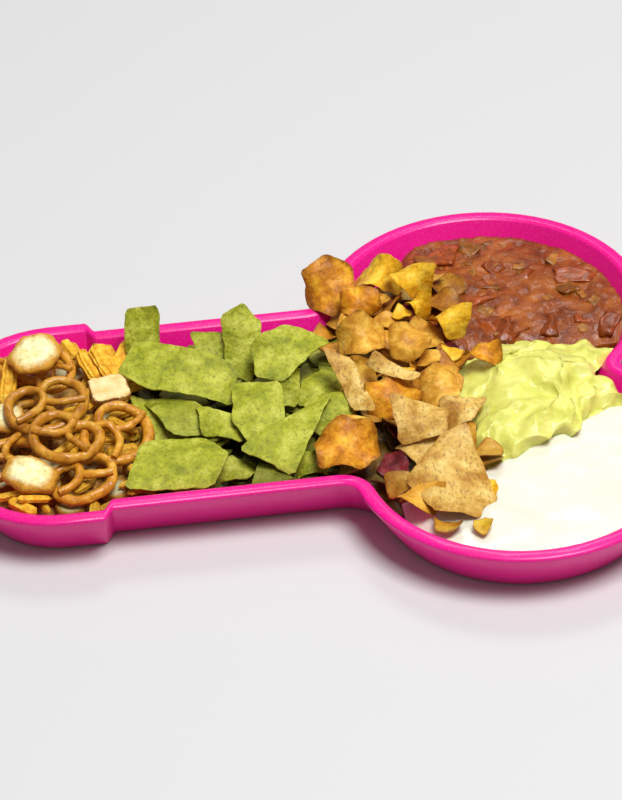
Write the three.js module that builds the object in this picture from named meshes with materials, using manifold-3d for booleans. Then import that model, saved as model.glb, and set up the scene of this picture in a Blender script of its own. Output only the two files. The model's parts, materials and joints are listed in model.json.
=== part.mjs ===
// Chip and dip server: a one-piece moulded party tray, filled as it is served.
// Millimetres, +Z up. X runs along the tray from its rounded nose (-X) to the two-lobed bowl (+X),
// Y runs across it. The origin is the middle of the footprint, on the surface that it stands on.

import * as THREE from 'three';
import { mergeVertices } from 'three/addons/utils/BufferGeometryUtils.js';
import Module from 'manifold-3d';

const wasm = await Module();
wasm.setup();

// ---- driving dimensions of the tray ----
const trayLength = 412;          // from the tip of the nose to the far end of the lobes
const channelWidth = 162;        // outside the rim, along the straight channel
const headWidth = 179;           // outside the rim, across the shouldered head
const headLength = 89;           // from the nose to the shoulder
const headSideLength = 21;       // straight stretch of the head's side, next to the shoulder
const headCornerRadius = 62;
const shoulderLength = 5.4;      // along X, in which the head steps in to the channel
const lobeRadius = 94;
const lobeSpacing = 134;         // between the centres of the two lobes
const neckFilletRadius = 10.2;   // inside corner between the channel and a lobe
const cleftRadius = 5.4;         // rounding of the notch between the lobes
const rimHeight = 32.5;
const rimWidth = 8.4;
const rimRounding = 1.6;
const footInset = 17;            // how far the foot of the wall stands in from the rim's edge
const wallThickness = 4;         // at the foot, measured level
const floorThickness = 3;
const floorFillet = 6;

// ---- driving dimensions of what it holds ----
const clearance = 0.3;           // gap that is left between any two solids
const dipDepthBelowRim = 8.5;    // level of the salsa and the sour cream
const guacamoleRise = 17;        // of its mound above the other two dips
const mixDepthBelowRim = 13;     // of the snack mix's bed, at the wall
const chipDepthBelowRim = 19;    // of the two chip beds, at the wall
const bedCrownRise = 6;          // of each bed, from the wall to its middle
const bedCrownInset = 30;        // how far in from its edge a bed reaches its full height
const tortillaThickness = 2.2;
const rootChipThickness = 1.8;
const pretzelRopeDiameter = 5;

const halfLength = trayLength / 2;
const halfChannel = channelWidth / 2;
const lobeX = halfLength - lobeRadius;
const lobeY = lobeSpacing / 2;
const dipLevel = rimHeight - dipDepthBelowRim;

// ---- helpers ----
function finish(color, roughness) {
  return new THREE.MeshStandardMaterial({ color, roughness, metalness: 0 });
}

function closed(geometry) {
  const bare = geometry.clone();
  bare.deleteAttribute('normal');
  bare.deleteAttribute('uv');
  return mergeVertices(bare, 1e-4);
}

function toSolid(geometry) {
  const merged = closed(geometry);
  return new wasm.Manifold(new wasm.Mesh({
    numProp: 3,
    vertProperties: new Float32Array(merged.attributes.position.array),
    triVerts: new Uint32Array(merged.index.array),
  }));
}

function toGeometry(solid) {
  const mesh = solid.getMesh();
  const geometry = new THREE.BufferGeometry();
  geometry.setAttribute('position', new THREE.BufferAttribute(new Float32Array(mesh.vertProperties), 3));
  geometry.setIndex(new THREE.BufferAttribute(new Uint32Array(mesh.triVerts), 1));
  return geometry;
}

function arc(x, y, radius, from, to, steps) {
  return new THREE.EllipseCurve(x, y, radius, radius, from, to, to < from).getPoints(steps);
}

// Half of the tray's outline, nose to cleft, set in from the rim's edge by the same inset all round.
// Rounded corners keep their centres, so every inset has the same number of points.
function halfOutline(inset) {
  const halfHead = headWidth / 2;
  const noseReach = headLength - headSideLength;
  const cornerRadius = Math.min(headCornerRadius, 0.92 * noseReach);
  const noseRadius = (noseReach ** 2 + (halfHead - cornerRadius) ** 2 - cornerRadius ** 2)
    / (2 * (noseReach - cornerRadius));
  const noseX = -halfLength + noseRadius;
  const shoulderX = -halfLength + headLength;
  const corner = new THREE.Vector2(shoulderX - headSideLength, halfHead - cornerRadius);
  const cornerAngle = Math.atan2(corner.y, corner.x - noseX);
  const points = [
    ...arc(noseX, 0, noseRadius - inset, Math.PI, cornerAngle, 6),
    ...arc(corner.x, corner.y, cornerRadius - inset, cornerAngle, Math.PI / 2, 8).slice(1),
  ];
  for (const t of [0, 0.25, 0.5, 0.75, 1]) {
    const side = THREE.MathUtils.lerp(halfHead, halfChannel, THREE.MathUtils.smoothstep(t, 0, 1));
    points.push(new THREE.Vector2(shoulderX + t * shoulderLength, side - inset));
  }
  const filletRadius = neckFilletRadius + inset;
  const filletY = halfChannel + neckFilletRadius;
  const filletX = lobeX - Math.sqrt((lobeRadius + neckFilletRadius) ** 2 - (filletY - lobeY) ** 2);
  const toLobe = Math.atan2(lobeY - filletY, lobeX - filletX);
  const cleftX = lobeX + Math.sqrt((lobeRadius + cleftRadius) ** 2 - lobeY ** 2);
  const toCleft = Math.atan2(-lobeY, cleftX - lobeX);
  points.push(
    ...arc(filletX, filletY, filletRadius, -Math.PI / 2, toLobe, 6),
    ...arc(lobeX, lobeY, lobeRadius - inset, toLobe + Math.PI, toCleft, 40).slice(1),
    ...arc(cleftX, 0, cleftRadius + inset, toCleft + Math.PI, Math.PI, 5).slice(1),
  );
  return points;
}

function outline(inset) {
  const half = halfOutline(inset);
  const mirrored = half.slice(1, -1).map(p => new THREE.Vector2(p.x, -p.y)).reverse();
  return [...half, ...mirrored];
}

// A closed solid through a run of outlines, each given as [inset, height], from the underside to the top.
function loft(levels) {
  const rings = levels.map(([inset, z]) => outline(inset).map(p => new THREE.Vector3(p.x, p.y, z)));
  const count = rings[0].length;
  const position = rings.flat().flatMap(p => [p.x, p.y, p.z]);
  const index = [];
  for (let r = 0; r + 1 < rings.length; r += 1) {
    for (let i = 0; i < count; i += 1) {
      const a = r * count + i;
      const b = r * count + (i + 1) % count;
      index.push(a, a + count, b, b, a + count, b + count);
    }
  }
  const closeEnd = (ring, first, upwards) => {
    const faces = THREE.ShapeUtils.triangulateShape(ring, []);
    const area = faces.reduce((sum, face) => sum + THREE.ShapeUtils.area(face.map(i => ring[i])), 0);
    for (const [i, j, k] of faces) {
      if (area > 0 === upwards) index.push(first + i, first + j, first + k);
      else index.push(first + i, first + k, first + j);
    }
  };
  closeEnd(rings[0], 0, false);
  closeEnd(rings[rings.length - 1], (rings.length - 1) * count, true);
  const geometry = new THREE.BufferGeometry();
  geometry.setAttribute('position', new THREE.Float32BufferAttribute(position, 3));
  geometry.setIndex(index);
  return geometry;
}

// ---- tray: drafted wall, broad rounded rim, filleted floor ----
const floorInset = footInset + wallThickness;
const innerDraft = (floorInset - rimWidth) / (rimHeight - floorThickness);
const innerInset = z => rimWidth + (rimHeight - z) * innerDraft;
const filletLevels = [1, 0.6, 0.25].map(t => [
  innerInset(floorThickness + t * floorFillet) + (1 - t) ** 2 * floorFillet * 0.8,
  floorThickness + t ** 2 * floorFillet,
]);
const trayGeometry = loft([
  [footInset + 1, 0],
  [footInset, 1],
  [0.4, rimHeight - 2 * rimRounding],
  [0, rimHeight - rimRounding],
  [rimRounding * 0.4, rimHeight - rimRounding * 0.4],
  [rimRounding * 1.4, rimHeight],
  [rimWidth - rimRounding * 1.2, rimHeight],
  [rimWidth, rimHeight - rimRounding * 0.7],
  ...filletLevels,
  [floorInset + floorFillet, floorThickness],
]);

const group = new THREE.Group();
const trayFinish = finish(0xe0218a, 0.35);
const tray = new THREE.Mesh(trayGeometry, trayFinish);
tray.name = 'tray';
group.add(tray);

// ---- dips: poured into the bowl, with the guacamole heaped between the other two ----
const insideWall = toSolid(loft([
  [floorInset + floorFillet + clearance, floorThickness + clearance],
  [innerInset(floorThickness + floorFillet) + clearance, floorThickness + floorFillet],
  [rimWidth + clearance, rimHeight],
  [rimWidth + clearance, 3 * rimHeight],
]));

function pool(corners, level) {
  const shape = new THREE.Shape(corners.map(([x, y]) => new THREE.Vector2(x, y)));
  return toSolid(new THREE.ExtrudeGeometry(shape, { depth: level, bevelEnabled: false }));
}

function addSolid(name, solid, material) {
  const mesh = new THREE.Mesh(toGeometry(solid), material);
  mesh.name = name;
  group.add(mesh);
}

const farSide = 2 * lobeRadius + lobeY;
const farEnd = halfLength + lobeRadius;
const dipLeft = lobeX - 0.55 * lobeRadius;
const creamLeft = dipLeft - 0.17 * lobeRadius;
const salsaLeft = dipLeft + 0.13 * lobeRadius;
const guacamoleLeft = lobeX - 0.24 * lobeRadius;
const guacamoleToe = guacamoleLeft - 0.06 * lobeRadius;
const guacamoleToeY = -0.2 * lobeRadius;
const guacamoleRight = lobeX + 0.6 * lobeRadius;
const salsaEdge = 0.4 * lobeRadius;
const creamEdgeLeft = -0.77 * lobeRadius;
const creamEdgeRight = -0.3 * lobeRadius;

const salsaCorners = [
  [salsaLeft, salsaEdge], [farEnd, salsaEdge], [farEnd, farSide], [dipLeft, farSide],
];
addSolid('salsa', insideWall.intersect(pool(salsaCorners, dipLevel)), finish(0xa54b23, 0.25));

const creamCorners = [
  [creamLeft, -farSide], [farEnd, -farSide], [farEnd, creamEdgeRight], [guacamoleRight, creamEdgeRight],
  [guacamoleLeft, creamEdgeLeft], [creamLeft, creamEdgeLeft],
];
addSolid('sour_cream', insideWall.intersect(pool(creamCorners, dipLevel)), finish(0xfffdf0, 0.4));

const mound = closed(new THREE.SphereGeometry(1, 32, 14));
const moundPoint = new THREE.Vector3();
for (let i = 0; i < mound.attributes.position.count; i += 1) {
  moundPoint.fromBufferAttribute(mound.attributes.position, i);
  const turn = Math.atan2(moundPoint.y, moundPoint.x);
  const lump = 1 + 0.05 * Math.sin(3 * turn) + 0.04 * Math.sin(5 * turn + 4 * moundPoint.z);
  mound.attributes.position.setXYZ(i, ...moundPoint.multiplyScalar(lump));
}
mound.scale(0.66 * lobeRadius, 0.62 * lobeRadius, guacamoleRise);
mound.translate(lobeX + 0.32 * lobeRadius, -0.14 * lobeRadius, dipLevel);
const guacamoleCorners = [
  [guacamoleToe, guacamoleToeY],
  [guacamoleLeft, creamEdgeLeft + 1.5 * clearance],
  [guacamoleRight, creamEdgeRight + 1.5 * clearance],
  [farEnd, creamEdgeRight + 1.5 * clearance],
  [farEnd, salsaEdge - clearance],
  [guacamoleLeft, salsaEdge - clearance],
];
const guacamole = toSolid(mound).add(insideWall.intersect(pool(guacamoleCorners, dipLevel)))
  .intersect(insideWall).intersect(pool(guacamoleCorners, 3 * rimHeight));
addSolid('guacamole', guacamole, finish(0xd9df6e, 0.45));

// ---- beds: the broken pieces under each heap, as one closed solid each, up to a low crown ----
const mixEnd = -0.46 * halfLength;
const tortillaEnd = 0.06 * halfLength;

function bed(name, from, to, edgeBelowRim, material) {
  const edge = rimHeight - edgeBelowRim;
  const heapInside = toSolid(loft([
    [floorInset + floorFillet + clearance, floorThickness + clearance],
    [innerInset(floorThickness + floorFillet) + clearance, floorThickness + floorFillet],
    [innerInset(edge) + clearance, edge],
    [innerInset(edge) + 0.45 * bedCrownInset, edge + 0.7 * bedCrownRise],
    [innerInset(edge) + bedCrownInset, edge + bedCrownRise],
  ]));
  const strip = pool([[from, -farSide], [to, -farSide], [to, farSide], [from, farSide]], 2 * rimHeight);
  return { name, material, solid: heapInside.intersect(strip) };
}

const mixBed = bed('snack_mix_bed', -farEnd, mixEnd, mixDepthBelowRim, finish(0xb9772c, 0.7));
const tortillaBed = bed(
  'tortilla_bed', mixEnd + clearance, tortillaEnd, chipDepthBelowRim, finish(0x7d8c2e, 0.8));
const rootBed = bed(
  'root_chip_bed', tortillaEnd + clearance, guacamoleLeft, chipDepthBelowRim, finish(0x9a6226, 0.7));
const dipWalls = pool([
  [creamLeft - clearance, -farSide], [farEnd, -farSide], [farEnd, farSide], [dipLeft - clearance, farSide],
  [salsaLeft - clearance, salsaEdge - 2 * clearance], [guacamoleToe - clearance, guacamoleToeY],
  [guacamoleLeft - clearance, creamEdgeLeft + 2 * clearance],
  [creamLeft - clearance, creamEdgeLeft + 2 * clearance],
], 2 * rimHeight);
for (const chipBed of [tortillaBed, rootBed]) chipBed.solid = chipBed.solid.subtract(dipWalls);
for (const { name, solid, material } of [mixBed, tortillaBed, rootBed]) addSolid(name, solid, material);

// ---- how the larger pieces lie: each is moved up or down to the nearest place that is free ----
const placed = [];
const shiftStep = 0.5;
const mostDown = 6;

function placedAt(mesh, grow) {
  const geometry = closed(mesh.geometry);
  if (grow > 0) {
    geometry.computeVertexNormals();
    const { position, normal } = geometry.attributes;
    for (let i = 0; i < position.count; i += 1) {
      position.setXYZ(i,
        position.getX(i) + grow * normal.getX(i),
        position.getY(i) + grow * normal.getY(i),
        position.getZ(i) + grow * normal.getZ(i));
    }
    geometry.deleteAttribute('normal');
  }
  mesh.updateMatrixWorld();
  geometry.applyMatrix4(mesh.matrixWorld);
  geometry.computeBoundingBox();
  return { box: geometry.boundingBox, solid: toSolid(geometry) };
}

function isFree({ box, solid }) {
  return placed.every(other => !other.box.intersectsBox(box) || other.solid.intersect(solid).isEmpty());
}

function findRoom(mesh) {
  const wanted = mesh.position.z;
  for (let n = 0; ; n += 1) {
    for (const way of n * shiftStep > mostDown ? [1] : [1, -1]) {
      mesh.position.z = wanted + way * n * shiftStep;
      if (isFree(placedAt(mesh, clearance))) return;
    }
  }
}

for (const mesh of group.children) placed.push(placedAt(mesh, 0));

// Puts a piece at a share of the half length and of the channel's half width, its middle so far above the
// rim, turned by turn and then leant by tilt degrees so that its top faces towards the given bearing.
function heap(name, geometry, material, { along, across, above, tilt = 0, toward = -90, turn = 0 }) {
  const mesh = new THREE.Mesh(geometry, material);
  const bearing = THREE.MathUtils.degToRad(toward);
  const axis = new THREE.Vector3(-Math.sin(bearing), Math.cos(bearing), 0);
  const lean = new THREE.Quaternion().setFromAxisAngle(axis, THREE.MathUtils.degToRad(tilt));
  const spin = new THREE.Quaternion().setFromAxisAngle(
    new THREE.Vector3(0, 0, 1), THREE.MathUtils.degToRad(turn));
  mesh.quaternion.copy(lean.multiply(spin));
  mesh.position.set(along * halfLength, across * halfChannel, rimHeight + above);
  mesh.name = name;
  findRoom(mesh);
  placed.push(placedAt(mesh, 0));
  group.add(mesh);
}

// A thin crisp: the outline goes through its corners, each nipped off, and the sheet is bowed.
function crisp(outlineCorners, thickness, bow, stepsPerSide = 4) {
  const clockwise = THREE.ShapeUtils.area(outlineCorners.map(([x, y]) => ({ x, y }))) < 0;
  const corners = clockwise ? [...outlineCorners].reverse() : outlineCorners;
  const ring = [];
  corners.forEach(([x, y], i) => {
    const [nextX, nextY] = corners[(i + 1) % corners.length];
    for (let s = 0; s < stepsPerSide; s += 1) {
      const t = 0.08 + 0.84 * s / (stepsPerSide - 1);
      ring.push([THREE.MathUtils.lerp(x, nextX, t), THREE.MathUtils.lerp(y, nextY, t)]);
    }
  });
  const geometry = new THREE.SphereGeometry(1, ring.length, 5);
  const reach = Math.max(...corners.map(([x, y]) => Math.hypot(x, y)));
  const shares = [0, 0.6, 1, 1, 0.6, 0];
  const levels = [0.5, 0.5, 0.3, -0.3, -0.5, -0.5];
  const { position, uv } = geometry.attributes;
  for (let i = 0; i < position.count; i += 1) {
    const level = Math.round((1 - uv.getY(i)) * 5);
    const pole = level === 0 || level === 5;
    const [x, y] = ring[(pole ? 0 : Math.round(uv.getX(i) * ring.length)) % ring.length];
    const share = shares[level];
    const out = Math.hypot(x, y) * share / reach;
    const ripple = 0.4 * Math.sin(3 * Math.atan2(y, x)) * out;
    position.setXYZ(i, x * share, y * share, levels[level] * thickness - bow * out ** 2 + ripple);
  }
  return geometry;
}

function oval(length, width, sides = 6) {
  return Array.from({ length: sides }, (_, i) => {
    const angle = 2 * Math.PI * (i + 0.5) / sides;
    return [length / 2 * Math.cos(angle), width / 2 * Math.sin(angle)];
  });
}

// ---- snack mix in the head: ridged sticks, bagel chips, a cracker, pretzels ----
const stickFinish = finish(0xf09a1e, 0.6);
const bagelFinish = finish(0xf5e3a0, 0.65);
const pretzelFinish = finish(0xb8702a, 0.35);

function stick(length, width, thickness) {
  const geometry = new THREE.CapsuleGeometry(width / 2, length - width, 3, 10);
  geometry.rotateZ(Math.PI / 2);
  geometry.scale(1, 1, thickness / width);
  return geometry;
}

const sticks = [
  { size: [36, 9, 8], along: -0.79, across: 0.42, above: 4, tilt: 24, toward: -95, turn: 80 },
  { size: [28, 8, 7], along: -0.57, across: 0.55, above: 2, tilt: 12, turn: 110 },
  { size: [30, 12, 6], along: -0.52, across: 0.52, above: 3, tilt: 16, toward: -80, turn: 115 },
  { size: [28, 16, 6], along: -0.46, across: 0.6, above: 4, tilt: 20, toward: -95, turn: 60 },
];
sticks.forEach(({ size, ...place }, i) => heap(`corn_stick_${i + 1}`, stick(...size), stickFinish, place));

const bagelChips = [
  { size: [34, 30, 8], along: -0.71, across: 0.5, above: 3, tilt: 14, toward: -95, turn: 25 },
  { size: [26, 22, 7], along: -0.8, across: 0.06, above: 2, tilt: 10, toward: -60, turn: 80 },
  { size: [35, 26, 9], along: -0.75, across: -0.66, above: 6, tilt: 16, toward: -80, turn: -25 },
];
bagelChips.forEach(({ size: [length, width, thickness], ...place }, i) => {
  heap(`bagel_chip_${i + 1}`, crisp(oval(length, width), thickness, 1.5, 3), bagelFinish, place);
});

const crackerCorners = [[-11, -8], [11, -8], [11, 8], [-11, 8]];
heap('cracker', crisp(crackerCorners, 6, 0, 3), finish(0xe9b85c, 0.6),
  { along: -0.52, across: 0.2, above: 5, tilt: 18, toward: -70, turn: 12 });

// A baked pretzel: two upper loops and a lower one, where the rope crosses itself and is baked together.
function pretzel(width) {
  const rope = pretzelRopeDiameter / 2;
  const loops = [
    { x: -0.22, y: 0.1, across: 0.24, deep: 0.26, turn: 0.5 },
    { x: 0.22, y: 0.1, across: 0.24, deep: 0.26, turn: -0.5 },
    { x: 0, y: -0.16, across: 0.2, deep: 0.17, turn: 0 },
  ].map(({ x, y, across, deep, turn }) => {
    const ring = new THREE.TorusGeometry(1, 1, 6, 16);
    const { position, uv } = ring.attributes;
    for (let i = 0; i < position.count; i += 1) {
      const round = 2 * Math.PI * uv.getX(i);
      const girth = 2 * Math.PI * uv.getY(i);
      const outward = 1 + rope / (across * width) * Math.cos(girth);
      position.setXYZ(i,
        across * width * outward * Math.cos(round),
        deep * width * (1 + rope / (deep * width) * Math.cos(girth)) * Math.sin(round),
        rope * Math.sin(girth));
    }
    ring.rotateZ(turn);
    ring.translate(x * width, y * width, 0);
    return toSolid(ring);
  });
  return toGeometry(loops[0].add(loops[1]).add(loops[2]));
}

const pretzels = [
  { width: 38, along: -0.62, across: -0.62, above: 1, tilt: 14, toward: -100, turn: 200 },
  { width: 42, along: -0.64, across: -0.3, above: 3, tilt: 8, toward: -60, turn: 150 },
  { width: 44, along: -0.49, across: -0.28, above: 5, tilt: 18, toward: -60, turn: 60 },
  { width: 48, along: -0.68, across: 0.0, above: 10, tilt: 12, toward: -80, turn: 20 },
];
pretzels.forEach(({ width, ...place }, i) => {
  heap(`pretzel_${i + 1}`, pretzel(width), pretzelFinish, place);
});

// ---- tortilla chips, heaped in the channel: broken corners of green corn sheet ----
const tortillaFinish = finish(0x9fb03a, 0.75);
const tortillaChips = [
  { along: -0.39, across: -0.01, above: -8, tilt: 24, toward: -110,
    corners: [[-17, 24], [20, -10], [7, -18], [-6, -14]] },
  { along: -0.33, across: -0.06, above: -5, tilt: 12,
    corners: [[-23, 21], [10, 8], [22, -15], [-9, -12]] },
  { along: -0.23, across: -0.23, above: -8, tilt: 15,
    corners: [[-13, 17], [15, 0], [10, -14], [-11, -5]] },
  { along: -0.2, across: -0.56, above: -12, tilt: 12, toward: -60,
    corners: [[-14, -4], [-4, 9], [14, 4], [6, -9]] },
  { along: 0, across: -0.6, above: -12, tilt: 20, corners: [[-12, -7], [-6, 8], [9, 6], [9, -7]] },
  { along: -0.37, across: -0.62, above: -1, tilt: 10,
    corners: [[-29, -12], [-17, 19], [20, 25], [30, 2], [20, -16]] },
  { along: 0.05, across: 0.12, above: -3, tilt: 20, toward: -70,
    corners: [[-14, -12], [-9, 6], [4, 13], [15, 2], [8, -11]] },
  { along: -0.03, across: 0.06, above: 5, tilt: 42, toward: -70,
    corners: [[-9, -13], [-9, 4], [5, 13], [8, 8], [4, -13]] },
  { along: 0.07, across: -0.21, above: 3, tilt: 18, toward: -80,
    corners: [[-10, -15], [-15, 7], [12, 15], [13, -8]] },
  { along: -0.22, across: 0.52, above: 5, tilt: 42, toward: -95,
    corners: [[-12, 15], [10, 9], [14, -13], [-11, -13]] },
  { along: -0.33, across: 0.28, above: 9, tilt: 18, toward: -95,
    corners: [[-34, 2], [-22, 24], [34, -2], [28, -26], [-17, -14]] },
  { along: -0.41, across: 0.62, above: 5, tilt: 50, corners: [[-9, 14], [10, 14], [9, -14], [-11, -14]] },
  { along: -0.07, across: -0.44, above: 3, tilt: 14, toward: -95,
    corners: [[-27, -8], [2, 12], [31, 24], [20, 4], [2, -29]] },
  { along: -0.12, across: -0.26, above: 9, tilt: 20,
    corners: [[-13, 30], [13, 22], [12, -26], [-6, -22], [-17, -1]] },
  { along: -0.14, across: 0.48, above: 13, tilt: 44,
    corners: [[-11, 16], [2, 22], [11, 9], [2, -25], [-12, -16]] },
  { along: -0.04, across: 0.25, above: 15, tilt: 22, toward: -75,
    corners: [[-17, 8], [2, 18], [30, 12], [0, -18], [-17, -14]] },
];
tortillaChips.forEach(({ corners, ...place }, i) => {
  const bow = 1.2 + 1.6 * (i % 3);
  heap(`tortilla_chip_${i + 1}`, crisp(corners, tortillaThickness, bow), tortillaFinish, place);
});

// ---- root vegetable and corn chips, heaped where the channel opens into the bowl ----
const rootFinishes = {
  beet: finish(0x6b1418, 0.5),
  parsnip: finish(0xd69a3c, 0.5),
  taro: finish(0xdcbf86, 0.6),
  sweet_potato: finish(0xc9741e, 0.5),
  corn: finish(0xf0b428, 0.55),
};
const rootChips = [
  { kind: 'beet', along: 0.21, across: -0.74, above: -14, tilt: 20, toward: -120, bow: 2,
    corners: oval(20, 26, 5) },
  { kind: 'parsnip', along: 0.26, across: -1.22, above: -10, tilt: 18, toward: -60, bow: 3,
    corners: oval(30, 20) },
  { kind: 'parsnip', along: 0.4, across: -0.65, above: -6, tilt: 25, toward: -80, bow: 3,
    corners: oval(18, 24, 5) },
  { kind: 'corn', along: 0.43, across: -1.1, above: -5, tilt: 12, toward: -100, bow: 2,
    corners: oval(14, 30, 5) },
  { kind: 'parsnip', along: 0.36, across: 0.53, above: -2, tilt: 20, bow: 4, corners: oval(30, 26, 5) },
  { kind: 'parsnip', along: 0.16, across: 0.09, above: 0, tilt: 25, toward: -100, bow: 3,
    corners: oval(26, 28, 5) },
  { kind: 'taro', along: 0.41, across: -0.45, above: 0, tilt: 20, toward: -100, bow: 2,
    corners: [[-12, 8], [16, 11], [5, -10], [-11, -9]] },
  { kind: 'taro', along: 0.28, across: -0.68, above: -2, tilt: 16, bow: 2,
    corners: [[-13, 8], [16, 4], [0, -16]] },
  { kind: 'sweet_potato', along: 0.24, across: -0.19, above: 4, tilt: 25, toward: -100, bow: 4,
    corners: oval(36, 28) },
  { kind: 'sweet_potato', along: 0.12, across: 1.0, above: 6, tilt: 46, toward: -100, bow: 7,
    corners: oval(34, 38) },
  { kind: 'sweet_potato', along: 0.2, across: 0.84, above: 10, tilt: 42, bow: 5, corners: oval(28, 22) },
  { kind: 'corn', along: 0.27, across: 1.1, above: 14, tilt: 30, bow: 7, corners: oval(32, 24) },
  { kind: 'corn', along: 0.44, across: 0.62, above: 6, tilt: 24, toward: -60, bow: 7,
    corners: oval(28, 20) },
  { kind: 'corn', along: 0.36, across: 0.77, above: 10, tilt: 30, bow: 5, corners: oval(18, 15, 5) },
  { kind: 'corn', along: 0.35, across: 0.92, above: 16, tilt: 34, toward: -80, bow: 6,
    corners: oval(30, 20) },
  { kind: 'parsnip', along: 0.31, across: 0.27, above: 14, tilt: 26, bow: 4, corners: oval(28, 26) },
  { kind: 'parsnip', along: 0.18, across: 0.35, above: 16, tilt: 34, toward: -95, bow: 6,
    corners: oval(32, 28) },
  { kind: 'taro', along: 0.13, across: -0.1, above: 10, tilt: 32, toward: -130, bow: 3,
    corners: [[-12, 26], [3, 17], [11, -22], [-3, -16]] },
  { kind: 'taro', along: 0.25, across: -0.02, above: 12, tilt: 18, bow: 2,
    corners: [[-16, 6], [-9, 11], [16, -5], [8, -11]] },
  { kind: 'parsnip', along: 0.36, across: -0.25, above: 12, tilt: 36, bow: 5, corners: oval(24, 30) },
  { kind: 'taro', along: 0.29, across: -0.52, above: 10, tilt: 18, bow: 3,
    corners: [[-14, 13], [2, 12], [17, 3], [13, -15], [-13, -13]] },
  { kind: 'sweet_potato', along: 0.5, across: 0.09, above: 6, tilt: 14, bow: 3, corners: oval(24, 14) },
  { kind: 'sweet_potato', along: 0.09, across: -0.68, above: 6, tilt: 22, bow: 6, corners: oval(40, 36) },
  { kind: 'taro', along: 0.35, across: -1.1, above: 4, tilt: 14, toward: -85, bow: 6,
    corners: [[-26, 4], [-2, 27], [12, 31], [22, -14], [10, -30], [-13, -25]] },
];
const madeOfKind = {};
rootChips.forEach(({ kind, bow, corners, ...place }) => {
  madeOfKind[kind] = (madeOfKind[kind] ?? 0) + 1;
  const geometry = crisp(corners, rootChipThickness, bow);
  heap(`${kind}_chip_${madeOfKind[kind]}`, geometry, rootFinishes[kind], place);
});

export default group;
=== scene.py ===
import json
import math

import bpy
import numpy as np
from mathutils import Matrix, Vector
from mathutils.bvhtree import BVHTree

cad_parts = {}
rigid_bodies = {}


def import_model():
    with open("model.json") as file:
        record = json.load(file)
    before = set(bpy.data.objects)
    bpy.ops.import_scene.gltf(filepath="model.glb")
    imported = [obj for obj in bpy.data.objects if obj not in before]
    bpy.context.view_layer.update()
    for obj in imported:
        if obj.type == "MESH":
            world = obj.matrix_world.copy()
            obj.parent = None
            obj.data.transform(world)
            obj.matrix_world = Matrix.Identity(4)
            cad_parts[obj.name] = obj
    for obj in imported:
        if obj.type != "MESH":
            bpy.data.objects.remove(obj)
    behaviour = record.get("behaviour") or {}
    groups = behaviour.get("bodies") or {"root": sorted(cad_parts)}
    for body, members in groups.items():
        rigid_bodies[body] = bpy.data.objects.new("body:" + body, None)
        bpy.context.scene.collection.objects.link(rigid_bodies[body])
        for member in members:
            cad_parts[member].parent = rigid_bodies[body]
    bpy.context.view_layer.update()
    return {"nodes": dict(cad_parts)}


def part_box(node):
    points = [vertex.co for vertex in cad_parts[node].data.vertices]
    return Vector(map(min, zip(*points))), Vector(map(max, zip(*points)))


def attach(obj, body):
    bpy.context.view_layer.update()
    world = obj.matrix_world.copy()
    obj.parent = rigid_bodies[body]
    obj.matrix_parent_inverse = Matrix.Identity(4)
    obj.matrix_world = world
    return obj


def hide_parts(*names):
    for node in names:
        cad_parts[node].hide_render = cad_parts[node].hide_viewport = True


# A chip and dip server, filled as it is served: a moulded tray, three dips in its two-lobed bowl, and
# heaps of snack mix, tortilla chips and root vegetable chips along its channel. Metres, +Z up.
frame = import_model()
nodes = frame["nodes"]
bpy.ops.object.select_all(action="DESELECT")

# ---- camera: stands on the near side and looks down along the table ----
look_at = Vector((0.0072, 0.0358, 0))
distance = 1.9255
heading = math.radians(4.51)
pitch = math.radians(37.8)
roll = math.radians(3.27)
focal_length = 151.3
sensor_width = 36

forward = Vector((
    math.sin(heading) * math.cos(pitch), math.cos(heading) * math.cos(pitch), -math.sin(pitch)))
level_right = Vector((math.cos(heading), -math.sin(heading), 0))
level_up = level_right.cross(forward)
right = math.cos(roll) * level_right - math.sin(roll) * level_up
up = math.sin(roll) * level_right + math.cos(roll) * level_up
bpy.ops.object.camera_add()
camera = bpy.context.object
camera.matrix_world = Matrix.Translation(look_at - distance * forward) @ Matrix(
    (right, up, -forward)).transposed().to_4x4()
camera.data.sensor_width = sensor_width
camera.data.lens = focal_length
bpy.context.scene.camera = camera

# ---- studio: a pale matt table, a broad soft light overhead, a weaker one behind, and a dim sky ----
floor_size = 8
floor_gap = 0.0005
bpy.ops.mesh.primitive_plane_add(size=floor_size, location=(0, 0, -floor_gap))
table = bpy.context.object
table.name = "table"
table_finish = bpy.data.materials.new("table_finish")
table_finish.use_nodes = True
table_shader = table_finish.node_tree.nodes["Principled BSDF"]
table_shader.inputs["Base Color"].default_value = (0.62, 0.62, 0.62, 1)
table_shader.inputs["Roughness"].default_value = 0.7
table.data.materials.append(table_finish)


def soft_light(name, place, size, power):
    """A square light that faces the origin."""
    bpy.ops.object.light_add(type="AREA", location=place)
    light = bpy.context.object
    light.name = name
    light.data.size = size
    light.data.energy = power
    light.rotation_euler = (-Vector(place)).to_track_quat("-Z", "Y").to_euler()


soft_light("overhead_light", place=(0.70, -0.85, 3.4), size=1.5, power=140)
soft_light("back_light", place=(0.4, 1.9, 2.6), size=0.8, power=20)
sky = bpy.data.worlds.new("sky")
bpy.context.scene.world = sky
sky.use_nodes = True
sky.node_tree.nodes["Background"].inputs["Color"].default_value = (1, 1, 1, 1)
sky.node_tree.nodes["Background"].inputs["Strength"].default_value = 0.19
bpy.context.scene.view_settings.view_transform = "Standard"


# ---- tray ----
# One piece of glossy hot-pink plastic, injection moulded: a drafted wall with a broad rounded rim, a
# filleted floor, and a fine pale speckle all through the plastic.
weld = 1e-5            # points nearer than this are one point


def only(piece):
    bpy.ops.object.select_all(action="DESELECT")
    piece.select_set(True)
    bpy.context.view_layer.objects.active = piece


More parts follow.
